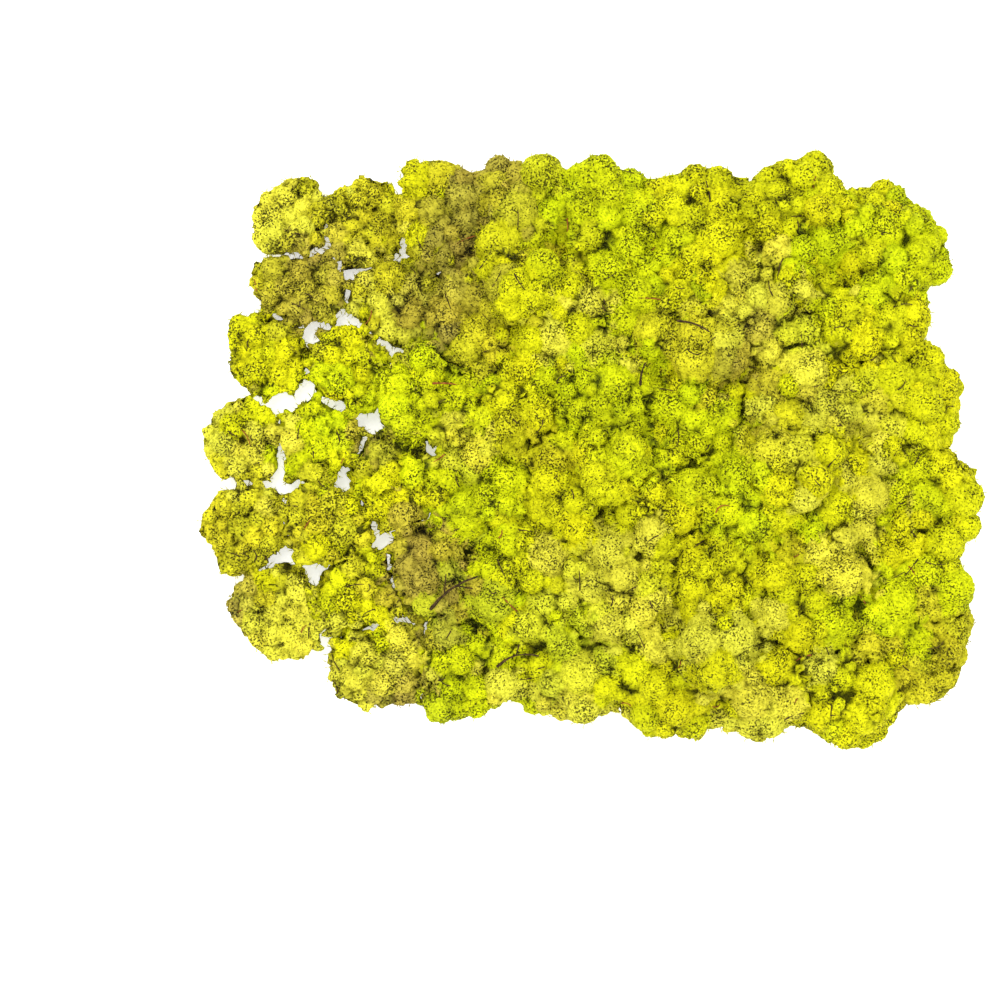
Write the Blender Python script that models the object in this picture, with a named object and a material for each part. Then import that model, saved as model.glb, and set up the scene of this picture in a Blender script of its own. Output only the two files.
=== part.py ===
"""A clump of reindeer moss, the cushion-forming lichen that is sold dried and dyed for decoration.

The clump is a mat of tufts that lean on and hook into each other, thick on the right and thinning out to
the left, where gaps open between them. Smaller tufts ride in the hollows of the thick part, and a few
twigs lie on top. Each tuft grew as one piece and is one closed solid: a low core with rounded heads
standing out of it. Units are metres, +Z is up, the clump lies on Z = 0, and the origin is under the
middle of its bounding box.
"""

import math
from dataclasses import dataclass

import bmesh
import bpy
import numpy as np
from mathutils import Vector
from mathutils.bvhtree import BVHTree

# Places are read on a square grid laid over the clump from above: columns count to the right and rows
# count towards the viewer, from the clump's back left corner.
GRID = 0.020

# Clear gap between two tufts, and between a twig and the tufts under it.
GAP = 0.0003

# Tufts are spread evenly by moving each to the middle of the ground that is nearest to it.
SPREAD_ROUNDS = 3
SPREAD_STEP = 0.004

# The middle of a tuft's core, as a share of its height, and how much that height varies.
CORE_MIDDLE = 0.44
MIDDLE_SPREAD = 0.15
# The core's half widths as shares of the ground that belongs to it: the rest is left to the heads.
CORE_SHARE = 0.98
# The core bulges at its shoulders: 2 would make it an ellipsoid and more makes it boxier.
SHOULDER = 2.9
# Below its middle the core reaches a little deeper than the table, so that it rests on a flat spot. The
# spot is smooth where the ball that shapes the core is lower than this.
CORE_DEPTH = 1.12
SPOT = -0.93
# How strongly a tuft of each kind pushes its neighbours away.
GROUND_PUSH = 0.040
RIDER_PUSH = 0.028
RIDER_HALF_WIDTH = 0.036

# Rounded heads: the radii of large and small ones, how many large ones a tuft has, how closely they
# crowd, how deep they sit in the core and how far down the sides they go.
LARGE_HEAD = (0.014, 0.018)
SMALL_HEAD = (0.009, 0.012)
LARGE_HEADS = 6
CROWDING = 0.78
HEAD_SINK = 0.28
LOWEST_HEAD = -0.30
HEAD_OF_HEIGHT = 0.36
# Small unevenness of the surface, and of the underside, as shares of the distance from the middle.
CRUMB = 0.012
UNDERSIDE_CRUMB = 0.055

# Surface points: how many places are tried, and the least distance between two that are kept on the
# heads, on the underside and where a tuft is pressed against another one.
TRIED_PLACES = 1500
FINE_SPACING = 0.0071
COARSE_SPACING = 0.0125
PRESSED = 0.0015
RING_TURN = math.radians(52)
RING_COUNT = 6

GOLDEN_ANGLE = math.pi * (3 - math.sqrt(5))
SEED = 41

FINISHES = {
    "bright": ((0.66, 0.70, 0.03), 0.90),
    "pale": ((0.76, 0.72, 0.10), 0.90),
    "green": ((0.47, 0.66, 0.02), 0.90),
    "olive": ((0.33, 0.26, 0.07), 0.92),
    "wood": ((0.10, 0.05, 0.03), 0.75),
}

# The clump's edge from above, as columns and rows, clockwise from the back left.
EDGE = (
    (2.8, 1.4), (5.8, 1.2), (7.4, 1.6), (8.8, 0.8), (12.0, 0.7), (13.8, 1.0), (14.6, 0.2), (16.0, 0.9),
    (17.6, 1.6), (19.6, 0.9), (21.6, 1.2), (24.0, 0.5), (26.0, 1.2), (28.2, 1.9), (29.6, 3.4), (29.4, 5.6),
    (29.0, 7.4), (30.0, 9.0), (29.7, 10.4), (30.3, 11.8), (30.9, 14.4), (30.6, 16.0), (30.1, 17.6),
    (30.9, 19.0), (29.9, 20.2), (28.7, 21.6), (27.8, 23.0), (26.6, 23.4), (25.4, 23.1), (22.2, 22.9),
    (20.8, 22.5), (19.5, 23.3), (18.2, 22.9), (17.4, 22.1), (15.8, 22.5), (13.6, 21.8), (12.0, 21.6),
    (10.2, 22.6), (9.2, 21.6), (7.8, 22.2), (6.0, 21.6), (5.0, 20.2), (3.4, 20.0), (1.8, 19.6),
    (1.4, 17.6), (0.4, 15.6), (0.6, 13.6), (0.2, 12.0), (1.4, 9.6), (1.6, 7.2), (2.0, 5.2), (2.5, 3.2),
)

# Openings between the thin tufts: the column where they end, the least distance between two, how far a
# spot has to lie from every tuft's middle, and their radii, which shrink to the right.
OPEN_UNTIL = 9.6
OPENINGS_APART = 0.026
OPENING_LONELY = 0.034
OPENING_RADIUS = (0.0065, 0.0115)
OPENING_SHRINK = 0.45


@dataclass(frozen=True)
class Tuft:
    """One tuft: its place on the grid, its height and its colour. A rider sits on others at this level."""

    column: float
    row: float
    height: float
    finish: str
    level: float = 0.0


@dataclass(frozen=True)
class Twig:
    """A stick lying on the tufts: the grid place of its middle, its heading in degrees and its sizes."""

    name: str
    column: float
    row: float
    heading: float
    length: float
    thickness: float
    bow: float
    shoots: tuple = ()


TUFTS = (
    # Thin left part, back to front
    Tuft(3.7, 2.2, 0.022, "pale"),
    Tuft(6.6, 2.4, 0.028, "olive"),
    Tuft(4.6, 5.3, 0.026, "olive"),
    Tuft(7.8, 5.8, 0.036, "pale"),
    Tuft(2.7, 8.0, 0.024, "bright"),
    Tuft(5.8, 8.5, 0.030, "bright"),
    Tuft(1.8, 11.4, 0.024, "pale"),
    Tuft(4.7, 11.5, 0.032, "green"),
    Tuft(7.6, 12.6, 0.040, "bright"),
    Tuft(2.0, 14.6, 0.024, "olive"),
    Tuft(5.1, 14.7, 0.032, "olive"),
    Tuft(3.4, 17.9, 0.026, "pale"),
    Tuft(6.5, 17.6, 0.040, "bright"),
    Tuft(7.2, 20.6, 0.036, "pale"),
    # Back row
    Tuft(9.4, 3.0, 0.044, "bright"),
    Tuft(12.6, 3.1, 0.052, "olive"),
    Tuft(16.3, 2.9, 0.056, "green"),
    Tuft(20.0, 3.1, 0.060, "bright"),
    Tuft(23.6, 2.9, 0.060, "bright"),
    Tuft(27.2, 3.6, 0.054, "green"),
    # Second row
    Tuft(10.8, 6.5, 0.046, "olive"),
    Tuft(14.5, 6.6, 0.060, "pale"),
    Tuft(18.3, 6.6, 0.062, "green"),
    Tuft(22.2, 6.6, 0.062, "pale"),
    Tuft(26.1, 7.0, 0.060, "bright"),
    # Third row
    Tuft(9.2, 10.0, 0.044, "green"),
    Tuft(12.7, 10.2, 0.054, "bright"),
    Tuft(16.4, 10.2, 0.062, "green"),
    Tuft(20.2, 10.3, 0.062, "bright"),
    Tuft(23.8, 10.4, 0.064, "pale"),
    Tuft(27.3, 10.4, 0.056, "bright"),
    # Fourth row
    Tuft(11.0, 13.6, 0.048, "green"),
    Tuft(14.6, 13.7, 0.060, "bright"),
    Tuft(18.3, 13.8, 0.064, "bright"),
    Tuft(22.0, 13.8, 0.066, "green"),
    Tuft(25.6, 13.8, 0.062, "pale"),
    Tuft(28.8, 13.8, 0.050, "bright"),
    # Fifth row
    Tuft(9.4, 16.9, 0.048, "olive"),
    Tuft(13.0, 17.2, 0.056, "bright"),
    Tuft(16.8, 17.2, 0.062, "pale"),
    Tuft(20.5, 17.3, 0.064, "bright"),
    Tuft(24.2, 17.3, 0.064, "bright"),
    Tuft(28.0, 17.3, 0.054, "green"),
    # Front row
    Tuft(11.0, 20.2, 0.046, "green"),
    Tuft(14.8, 20.5, 0.052, "pale"),
    Tuft(18.6, 20.8, 0.058, "bright"),
    Tuft(22.2, 20.7, 0.058, "pale"),
    Tuft(25.8, 20.8, 0.056, "bright"),
    Tuft(28.8, 20.2, 0.046, "olive"),
    # Riders in the hollows
    Tuft(13.6, 4.8, 0.042, "bright", 0.028),
    Tuft(20.6, 8.0, 0.044, "olive", 0.030),
    Tuft(16.8, 12.6, 0.046, "bright", 0.030),
    Tuft(24.2, 12.5, 0.046, "bright", 0.032),
    Tuft(20.6, 19.4, 0.046, "pale", 0.030),
)

TWIGS = (
    Twig("forked_twig", 10.3, 17.5, 35, 0.046, 0.0024, 0.004, ((0.35, 50, 0.016), (0.6, -45, 0.014))),
    Twig("curved_twig", 12.8, 20.2, 15, 0.034, 0.0020, 0.005, ((0.5, 60, 0.009),)),
    Twig("brown_twig", 19.6, 7.1, -20, 0.026, 0.0018, 0.002),
    Twig("dark_stick", 17.7, 8.9, 76, 0.018, 0.0020, 0.001),
    Twig("red_stick", 10.0, 9.3, -4, 0.022, 0.0016, 0.001),
)

TWIG_SIDES = 5
TWIG_STEPS = 5
TWIG_TAPER = 0.55
SHOOT_SHARE = 0.7
# How finely the tufts under a twig are probed, from how high, and how steeply a twig may lie, as its rise
# over its length.
PROBES = 60
ABOVE_ALL = 0.2
STEEPEST = 0.35
SLOPES_TRIED = 301


def grid_to_plan(column, row):
    """A grid place as X and Y before the clump is centred."""
    return np.array((column * GRID, -row * GRID))


def clear_scene():
    """Removes whatever the startup scene holds."""
    for thing in list(bpy.data.objects):
        bpy.data.objects.remove(thing)


def material(finish):
    """The plain material of a finish, made once."""
    found = bpy.data.materials.get(finish)
    if found:
        return found
    colour, roughness = FINISHES[finish]
    made = bpy.data.materials.new(finish)
    made.use_nodes = True
    shader = made.node_tree.nodes["Principled BSDF"]
    shader.inputs["Base Color"].default_value = (*colour, 1.0)
    shader.inputs["Roughness"].default_value = roughness
    shader.inputs["Metallic"].default_value = 0.0
    return made


def add_object(name, vertices, faces, finish):
    """Puts a mesh into the scene as one named object with its finish, shaded smooth."""
    mesh = bpy.data.meshes.new(name)
    mesh.from_pydata([tuple(map(float, vertex)) for vertex in vertices], [], faces)
    mesh.update()
    mesh.shade_smooth()
    mesh.materials.append(material(finish))
    thing = bpy.data.objects.new(name, mesh)
    bpy.context.scene.collection.objects.link(thing)
    return thing


def unit(vectors):
    """Vectors scaled to length 1."""
    return vectors / np.linalg.norm(vectors, axis=-1, keepdims=True)


def spiral(count):
    """Unit vectors spread evenly over the unit ball, along a golden-angle spiral."""
    index = np.arange(count)
    z = 1 - 2 * (index + 0.5) / count
    radius = np.sqrt(1 - z**2)
    turn = index * GOLDEN_ANGLE
    return np.stack((radius * np.cos(turn), radius * np.sin(turn), z), axis=1)


def hull_faces(points):
    """The triangles that join unit vectors into a closed ball, facing out."""
    ball = bmesh.new()
    for point in points:
        ball.verts.new(point)
    ball.verts.ensure_lookup_table()
    ball.verts.index_update()
    bmesh.ops.convex_hull(ball, input=ball.verts, use_existing_faces=False)
    faces = []
    for face in ball.faces:
        a, b, c = (vertex.index for vertex in face.verts)
        outward = np.cross(points[b] - points[a], points[c] - points[a]) @ points[a]
        faces.append((a, b, c) if outward > 0 else (a, c, b))
    ball.free()
    return faces


def ball_exit(rays, centre, radius):
    """How far along each ray from the origin a ball is left behind, or 0 where the ray misses it."""
    along = rays @ centre
    inside = radius**2 - (centre @ centre - along**2)
    return np.where(inside > 0, along + np.sqrt(np.maximum(inside, 0)), 0.0)


def post_entry(rays, centre, radius):
    """How far along each ray from the origin an upright round post is met, or infinity where it isn't."""
    flat = np.maximum(np.linalg.norm(rays[:, :2], axis=1), 1e-6)
    along = rays[:, :2] @ centre / flat
    inside = radius**2 - (centre @ centre - along**2)
    met = (inside > 0) & (along > 0)
    return np.where(met, (along - np.sqrt(np.maximum(inside, 0))) / flat, np.inf)


def ground_inside_edge():
    """Points on a fine square grid inside the clump's edge and outside its openings."""
    edge = np.array([grid_to_plan(*place) for place in EDGE])
    low = edge.min(axis=0)
    high = edge.max(axis=0)
    x, y = np.meshgrid(np.arange(low[0], high[0], SPREAD_STEP), np.arange(low[1], high[1], SPREAD_STEP))
    ground = np.stack((x.ravel(), y.ravel()), axis=1)
    inside = np.zeros(len(ground), bool)
    for (x1, y1), (x2, y2) in zip(edge, np.roll(edge, -1, axis=0)):
        crosses = (y1 > ground[:, 1]) != (y2 > ground[:, 1])
        rise = (ground[:, 1] - y1) / (y2 - y1) if y2 != y1 else 0.0
        inside ^= crosses & (ground[:, 0] < x1 + (x2 - x1) * rise)
    return ground[inside]


def openings_between(ground, places):
    """Round openings in the thin part where the ground is furthest from every tuft: (place, radius)."""
    random = np.random.default_rng(SEED)
    lonely = np.linalg.norm(ground[:, None] - places, axis=2).min(axis=1)
    found = []
    for index in np.argsort(-lonely, kind="stable"):
        spot = ground[index]
        if lonely[index] < OPENING_LONELY or spot[0] > OPEN_UNTIL * GRID:
            continue
        if any(np.linalg.norm(spot - other) < OPENINGS_APART for other, _ in found):
            continue
        shrink = 1 - OPENING_SHRINK * spot[0] / (OPEN_UNTIL * GRID)
        found.append((spot, random.uniform(*OPENING_RADIUS) * shrink))
    return found


def spread(tufts, ground):
    """Evens out the tufts that lie on the ground: (places, the ground points nearest to each)."""
    places = np.array([grid_to_plan(tuft.column, tuft.row) for tuft in tufts])
    for _ in range(SPREAD_ROUNDS):
        owner = np.argmin(np.linalg.norm(ground[:, None] - places, axis=2), axis=1)
        places = np.array([ground[owner == index].mean(axis=0) for index in range(len(places))])
    owner = np.argmin(np.linalg.norm(ground[:, None] - places, axis=2), axis=1)
    return places, [ground[owner == index] for index in range(len(places))]


class TuftShape:
    """The surface of a tuft as one distance from its middle in every direction."""

    def __init__(self, tuft, order, place, widths, turn):
        self.tuft = tuft
        self.random = np.random.default_rng(SEED + order)
        share = CORE_MIDDLE + self.random.uniform(-MIDDLE_SPREAD, MIDDLE_SPREAD)
        self.centre = np.array((*place, tuft.level + tuft.height * share))
        self.push = RIDER_PUSH if tuft.level else GROUND_PUSH
        self.large = min(LARGE_HEAD[1], tuft.height * HEAD_OF_HEIGHT)
        top = tuft.level + tuft.height - self.centre[2] - self.large * (1 - HEAD_SINK)
        bottom = (self.centre[2] - tuft.level) * CORE_DEPTH
        cos, sin = math.cos(turn), math.sin(turn)
        self.turned = np.array(((cos, -sin, 0), (sin, cos, 0), (0, 0, 1)))
        self.above = np.array((*widths, top))
        self.below = np.array((*widths, bottom))
        self.heads = self.place_heads()

    def stretch(self, balls):
        """Points of the unit ball as points of the core's surface, seen from its middle."""
        flat = np.linalg.norm(balls[:, :2], axis=1, keepdims=True)
        bulge = (flat**SHOULDER + np.abs(balls[:, 2:]) ** SHOULDER) ** (-1 / SHOULDER)
        return (balls * bulge * np.where(balls[:, 2:] > 0, self.above, self.below)) @ self.turned.T

    def place_heads(self):
        """Large heads first and small ones in what is left: (centre from the middle, radius)."""
        spots = spiral(TRIED_PLACES)
        spots = spots[spots[:, 2] > LOWEST_HEAD]
        spots = spots[self.random.permutation(len(spots))]
        surface = self.stretch(spots)
        heads = []
        centres = np.empty((0, 3))
        radii = np.empty(0)
        for place in surface:
            few = len(heads) < LARGE_HEADS
            low, high = LARGE_HEAD if few else SMALL_HEAD
            radius = min(self.random.uniform(low, high), self.large * (1.0 if few else 0.7))
            centre = place - unit(place) * radius * HEAD_SINK
            apart = np.linalg.norm(centres - centre, axis=1)
            if (apart < CROWDING * (radii + radius)).any():
                continue
            heads.append((centre, radius))
            centres = np.vstack((centres, centre))
            radii = np.append(radii, radius)
        return heads

    def reach(self, rays, core, neighbours, openings):
        """How far the surface lies along each ray, and how much of it the neighbours press away."""
        free = core.copy()
        for centre, radius in self.heads:
            free = np.maximum(free, ball_exit(rays, centre, radius))
        kept = free.copy()
        for other in neighbours:
            apart = other.centre - self.centre
            distance = np.linalg.norm(apart)
            wall = (distance**2 + self.push**2 - other.push**2) / (2 * distance) - GAP / 2
            towards = rays @ (apart / distance)
            kept = np.where(towards > 1e-6, np.minimum(kept, wall / np.maximum(towards, 1e-6)), kept)
        for centre, radius in openings:
            kept = np.minimum(kept, post_entry(rays, centre - self.centre[:2], radius))
        return kept, free - kept

    def ball_of(self, place):
        """The point of the unit ball whose ray goes through a place seen from the middle."""
        local = place @ self.turned
        return unit(local / (self.above if local[2] > 0 else self.below))

    def head_places(self):
        """A ball point on the top of each head and on a ring round it."""
        balls = []
        for centre, radius in self.heads:
            up = unit(centre)
            side = unit(np.cross(up, (0.3, 0.2, 1.0)))
            across = np.cross(up, side)
            balls.append(self.ball_of(centre + up * radius))
            start = self.random.uniform(0, 2 * math.pi)
            for step in range(RING_COUNT):
                turn = start + 2 * math.pi * step / RING_COUNT
                out = side * math.cos(turn) + across * math.sin(turn)
                place = centre + radius * (up * math.cos(RING_TURN) + out * math.sin(RING_TURN))
                balls.append(self.ball_of(place))
        return np.array(balls)

    def build(self, neighbours, openings):
        """(vertices, faces) with the tops of heads and the bottoms of valleys picked out first."""
        tops = self.head_places()
        balls = np.vstack((tops, spiral(TRIED_PLACES)))
        stretched = self.stretch(balls)
        core = np.linalg.norm(stretched, axis=1)
        rays = stretched / core[:, None]
        reach, pressed = self.reach(rays, core, neighbours, openings)
        relief = reach / core
        spacing = np.where((pressed > PRESSED) | (balls[:, 2] < LOWEST_HEAD), COARSE_SPACING, FINE_SPACING)
        spacing = np.minimum(spacing, self.tuft.height * HEAD_OF_HEIGHT)
        places = rays * reach[:, None]
        order = np.argsort(relief[len(tops) :], kind="stable") + len(tops)
        heads_first = np.concatenate((np.arange(0, len(tops), RING_COUNT + 1), np.arange(len(tops)), order))
        kept = []
        for index in heads_first:
            if kept and np.linalg.norm(places[kept] - places[index], axis=1).min() < spacing[index]:
                continue
            kept.append(int(index))
        rough = np.where(balls[kept, 2] < LOWEST_HEAD, UNDERSIDE_CRUMB, CRUMB) * (balls[kept, 2] > SPOT)
        crumb = 1 - np.abs(self.random.normal(0, 1, len(kept))) * rough
        vertices = self.centre + places[kept] * crumb[:, None]
        if not self.tuft.level:
            falling = vertices[:, 2] < 0
            drop = self.centre[2] / (self.centre[2] - vertices[falling, 2])
            vertices[falling] = self.centre + (vertices[falling] - self.centre) * drop[:, None]
            vertices[falling, 2] = 0.0
        return vertices, hull_faces(balls[kept])


def shapes_of_tufts():
    """Every tuft's shape, and the openings: ground tufts fill their ground, and riders sit between three."""
    ground_tufts = [tuft for tuft in TUFTS if not tuft.level]
    ground = ground_inside_edge()
    places, grounds = spread(ground_tufts, ground)
    shapes = []
    for order, (tuft, place, own) in enumerate(zip(ground_tufts, places, grounds)):
        values, axes = np.linalg.eigh(np.cov((own - place).T))
        turn = math.atan2(axes[1, 1], axes[0, 1])
        widths = 2 * np.sqrt(values[::-1]) * CORE_SHARE
        shapes.append(TuftShape(tuft, order, place, widths, turn))
    for order, tuft in enumerate(tuft for tuft in TUFTS if tuft.level):
        away = np.linalg.norm(places - grid_to_plan(tuft.column, tuft.row), axis=1)
        place = places[np.argsort(away)[:3]].mean(axis=0)
        widths = np.array((RIDER_HALF_WIDTH, RIDER_HALF_WIDTH * 0.85)) * CORE_SHARE
        shapes.append(TuftShape(tuft, len(places) + order, place, widths, order))
    return shapes, openings_between(ground, places)


def build_tufts():
    """Every tuft as (name, vertices, faces, finish), before the clump is centred."""
    shapes, openings = shapes_of_tufts()
    made = []
    numbers = {}
    for shape in shapes:
        others = [other for other in shapes if other is not shape]
        vertices, faces = shape.build(others, openings)
        finish = shape.tuft.finish
        numbers[finish] = numbers.get(finish, 0) + 1
        made.append((f"{finish}_tuft_{numbers[finish]:02d}", vertices, faces, finish))
    return made


def middle_of(tufts):
    """The middle of the clump's bounding box in plan."""
    everything = np.vstack([vertices for _, vertices, _, _ in tufts])
    middle = (everything.min(axis=0) + everything.max(axis=0)) / 2
    middle[2] = 0.0
    return middle


def tube(points, radii):
    """(vertices, faces) of a stick with a few flat sides along a bent line, closed at both ends."""
    vertices = []
    for index, (point, radius) in enumerate(zip(points, radii)):
        ahead = unit(points[min(index + 1, len(points) - 1)] - points[max(index - 1, 0)])
        side = unit(np.cross(ahead, (0.0, 0.0, 1.0)))
        up = np.cross(ahead, side)
        for step in range(TWIG_SIDES):
            turn = 2 * math.pi * step / TWIG_SIDES
            vertices.append(point + radius * (side * math.cos(turn) + up * math.sin(turn)))
    faces = []
    for ring in range(len(points) - 1):
        for step in range(TWIG_SIDES):
            a = ring * TWIG_SIDES + step
            b = ring * TWIG_SIDES + (step + 1) % TWIG_SIDES
            faces.append((a, b, b + TWIG_SIDES, a + TWIG_SIDES))
    last = (len(points) - 1) * TWIG_SIDES
    faces.append(tuple(range(TWIG_SIDES - 1, -1, -1)))
    faces.append(tuple(range(last, last + TWIG_SIDES)))
    return np.array(vertices), faces


def twig_lines(twig, middle):
    """The bent lines of a twig and of its shoots, lying flat: (points, radii) for each."""
    x, y = grid_to_plan(twig.column, twig.row) - middle[:2]
    heading = math.radians(twig.heading)
    ahead = np.array((math.cos(heading), math.sin(heading), 0.0))
    side = np.array((-ahead[1], ahead[0], 0.0))
    share = np.linspace(0, 1, TWIG_STEPS)
    bow = np.sin(math.pi * share) * twig.bow
    points = np.array((x, y, 0)) + np.outer((share - 0.5) * twig.length, ahead) + np.outer(bow, side)
    radius = twig.thickness / 2
    lines = [(points, radius * (1 - (1 - TWIG_TAPER) * share))]
    for start, turn, length in twig.shoots:
        angle = heading + math.radians(turn)
        out = np.array((math.cos(angle), math.sin(angle), 0.0))
        root = points[0] + (points[-1] - points[0]) * start + side * math.sin(math.pi * start) * twig.bow
        steps = np.linspace(0, 1, 3)
        shoot = root + np.outer(steps * length, out)
        lines.append((shoot, radius * SHOOT_SHARE * (1 - (1 - TWIG_TAPER) * steps)))
    return lines


def tufts_below(tufts, middle):
    """A tree that answers where a line from above meets the tufts."""
    vertices = []
    faces = []
    for _, points, triangles, _ in tufts:
        faces += [tuple(corner + len(vertices) for corner in triangle) for triangle in triangles]
        vertices += [tuple(map(float, point - middle)) for point in points]
    return BVHTree.FromPolygons(vertices, faces)


def probe_twig(lines, tree):
    """Where the tufts are under a twig: (shares of the way along its main stick, heights) of many places."""
    points = lines[0][0]
    along = unit(points[-1] - points[0])
    length = np.linalg.norm(points[-1] - points[0])
    shares = []
    heights = []
    for line, radii in lines:
        steps = np.linspace(0, len(line) - 1, PROBES)
        bent = np.stack([np.interp(steps, np.arange(len(line)), line[:, axis]) for axis in range(3)], axis=1)
        ahead = unit(line[-1] - line[0])
        side = np.array((-ahead[1], ahead[0], 0.0))
        for across in (-1.0, -0.5, 0.0, 0.5, 1.0):
            for place in bent + side * across * radii[0]:
                hit, _, _, _ = tree.ray_cast(Vector((place[0], place[1], ABOVE_ALL)), Vector((0, 0, -1)))
                shares.append((place - points[0]) @ along / length)
                heights.append(hit.z if hit else 0.0)
    return np.array(shares), np.array(heights)


def rest_slope(shares, heights, length):
    """How a stiff stick lies on tops to either side of its middle: (height at its middle, rise end to end)."""
    slopes = np.linspace(-STEEPEST, STEEPEST, SLOPES_TRIED) * length
    levels = (heights - slopes[:, None] * (shares - 0.5)).max(axis=1)
    lowest = int(np.argmin(levels))
    return levels[lowest], slopes[lowest]


def build_twig(twig, tree, middle):
    """One twig with its shoots as one closed body, resting on the tufts."""
    lines = twig_lines(twig, middle)
    level, slope = rest_slope(*probe_twig(lines, tree), twig.length)
    points = lines[0][0]
    along = unit(points[-1] - points[0])
    length = np.linalg.norm(points[-1] - points[0])
    parts = []
    for index, (line, radii) in enumerate(lines):
        share = (line - points[0]) @ along / length
        line[:, 2] = level + slope * (share - 0.5) + twig.thickness / 2 + GAP
        name = twig.name if index == 0 else f"{twig.name}_shoot"
        parts.append(add_object(name, *tube(line, radii), "wood"))
    whole = parts[0]
    for shoot in parts[1:]:
        joined = whole.modifiers.new("shoot", "BOOLEAN")
        joined.operation = "UNION"
        joined.solver = "EXACT"
        joined.object = shoot
        graph = bpy.context.evaluated_depsgraph_get()
        mesh = bpy.data.meshes.new_from_object(whole.evaluated_get(graph))
        whole.modifiers.clear()
        whole.data = mesh
        bpy.data.objects.remove(shoot)
    return whole


def main():
    """Builds the whole clump."""
    clear_scene()
    tufts = build_tufts()
    middle = middle_of(tufts)
    for name, vertices, faces, finish in tufts:
        add_object(name, vertices - middle, faces, finish)
    tree = tufts_below(tufts, middle)
    for twig in TWIGS:
        build_twig(twig, tree, middle)


main()
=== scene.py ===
"""Dresses a clump of dyed reindeer moss: branchlets on every tuft, bark on the twigs, needles caught on top.

Every tuft keeps the form of its CAD solid. Its skin is the solid made finer and moved to rounded heads, with
pits and creases between them, and small stars of branchlets and longer forked strands cover it.
"""

import logging
import math
from dataclasses import dataclass
from enum import Enum

import bpy
import numpy as np
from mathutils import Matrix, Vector
from mathutils.bvhtree import BVHTree


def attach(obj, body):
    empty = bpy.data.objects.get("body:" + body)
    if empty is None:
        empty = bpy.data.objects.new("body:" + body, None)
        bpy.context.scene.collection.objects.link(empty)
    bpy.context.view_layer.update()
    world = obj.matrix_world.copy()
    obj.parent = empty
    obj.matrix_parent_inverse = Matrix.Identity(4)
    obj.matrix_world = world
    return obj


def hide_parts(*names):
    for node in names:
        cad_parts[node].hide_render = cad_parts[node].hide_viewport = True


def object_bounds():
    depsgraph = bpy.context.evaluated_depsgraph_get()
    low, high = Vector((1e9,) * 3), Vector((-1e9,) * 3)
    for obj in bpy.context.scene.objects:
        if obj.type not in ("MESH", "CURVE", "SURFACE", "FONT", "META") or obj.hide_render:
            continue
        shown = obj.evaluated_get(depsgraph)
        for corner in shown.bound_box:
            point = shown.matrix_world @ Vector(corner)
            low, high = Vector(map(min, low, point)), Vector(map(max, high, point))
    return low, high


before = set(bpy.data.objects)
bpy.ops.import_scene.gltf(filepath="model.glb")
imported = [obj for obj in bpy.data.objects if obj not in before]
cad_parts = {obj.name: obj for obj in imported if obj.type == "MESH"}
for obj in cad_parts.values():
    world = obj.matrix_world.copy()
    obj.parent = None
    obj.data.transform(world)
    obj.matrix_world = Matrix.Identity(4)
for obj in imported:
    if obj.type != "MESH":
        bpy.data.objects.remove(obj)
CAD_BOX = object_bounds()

Array = np.ndarray
LOG = logging.getLogger("reindeer_moss")

MM = 0.001
SEED = 7
# Everything stays this far above the table.
TABLE_CLEARANCE = 0.00005
# What stands over this height is pressed to this share, so that it ends near the top of the CAD solids.
TALL_FROM = 74 * MM
TALL_SHARE = 0.5
# The moss is thin up to the first x, thick from the second one, and changes evenly between them.
THIN_TO = -0.18
THICK_FROM = -0.10
THIN_FADE = 0.08


def linear(hex_colour: str) -> tuple[float, float, float]:
    """Turns an sRGB hex colour into linear light, by the sRGB curve.

    Args:
        hex_colour: six hex digits after a hash.

    Returns:
        Red, green and blue in linear light.
    """
    values = [int(hex_colour[start:start + 2], 16) / 255 for start in (1, 3, 5)]
    return tuple(v / 12.92 if v <= 0.04045 else ((v + 0.055) / 1.055) ** 2.4 for v in values)


def unit(vectors: Array) -> Array:
    """Vectors scaled to length 1."""
    return vectors / np.maximum(np.linalg.norm(vectors, axis=-1, keepdims=True), 1e-12)


def hashed(cells: Array, salt: int) -> Array:
    """A repeatable number from 0 to 1 for each cell of a whole-number grid.

    Args:
        cells: whole numbers, with the three grid axes last.
        salt: changes the numbers.

    Returns:
        The multiplied and folded bits of the three numbers, as a share of their range.
    """
    mixed = cells[..., 0] * 73856093 ^ cells[..., 1] * 19349663 ^ cells[..., 2] * 83492791
    mixed = (mixed + salt * 2654435761) & 0xFFFFFFFF
    for multiplier in (0x7FEB352D, 0x846CA68B):
        mixed = ((mixed ^ (mixed >> 15)) * multiplier) & 0xFFFFFFFF
    return (mixed ^ (mixed >> 16)) / 0xFFFFFFFF


def rising(values: Array, start: float | Array, width: float) -> Array:
    """Shares that are 0 up to the start and then rise evenly to 1 over the width."""
    return np.clip((values - start) / width, 0, 1)


def falling(values: Array, end: float | Array, width: float) -> Array:
    """Shares that fall evenly from 1 over the width and are 0 from the end on."""
    return np.clip((end - values) / width, 0, 1)


def eased(share: Array) -> Array:
    """Shares from 0 to 1 that leave 0 and reach 1 softly: 3 u squared - 2 u cubed."""
    return share * share * (3 - 2 * share)


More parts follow.
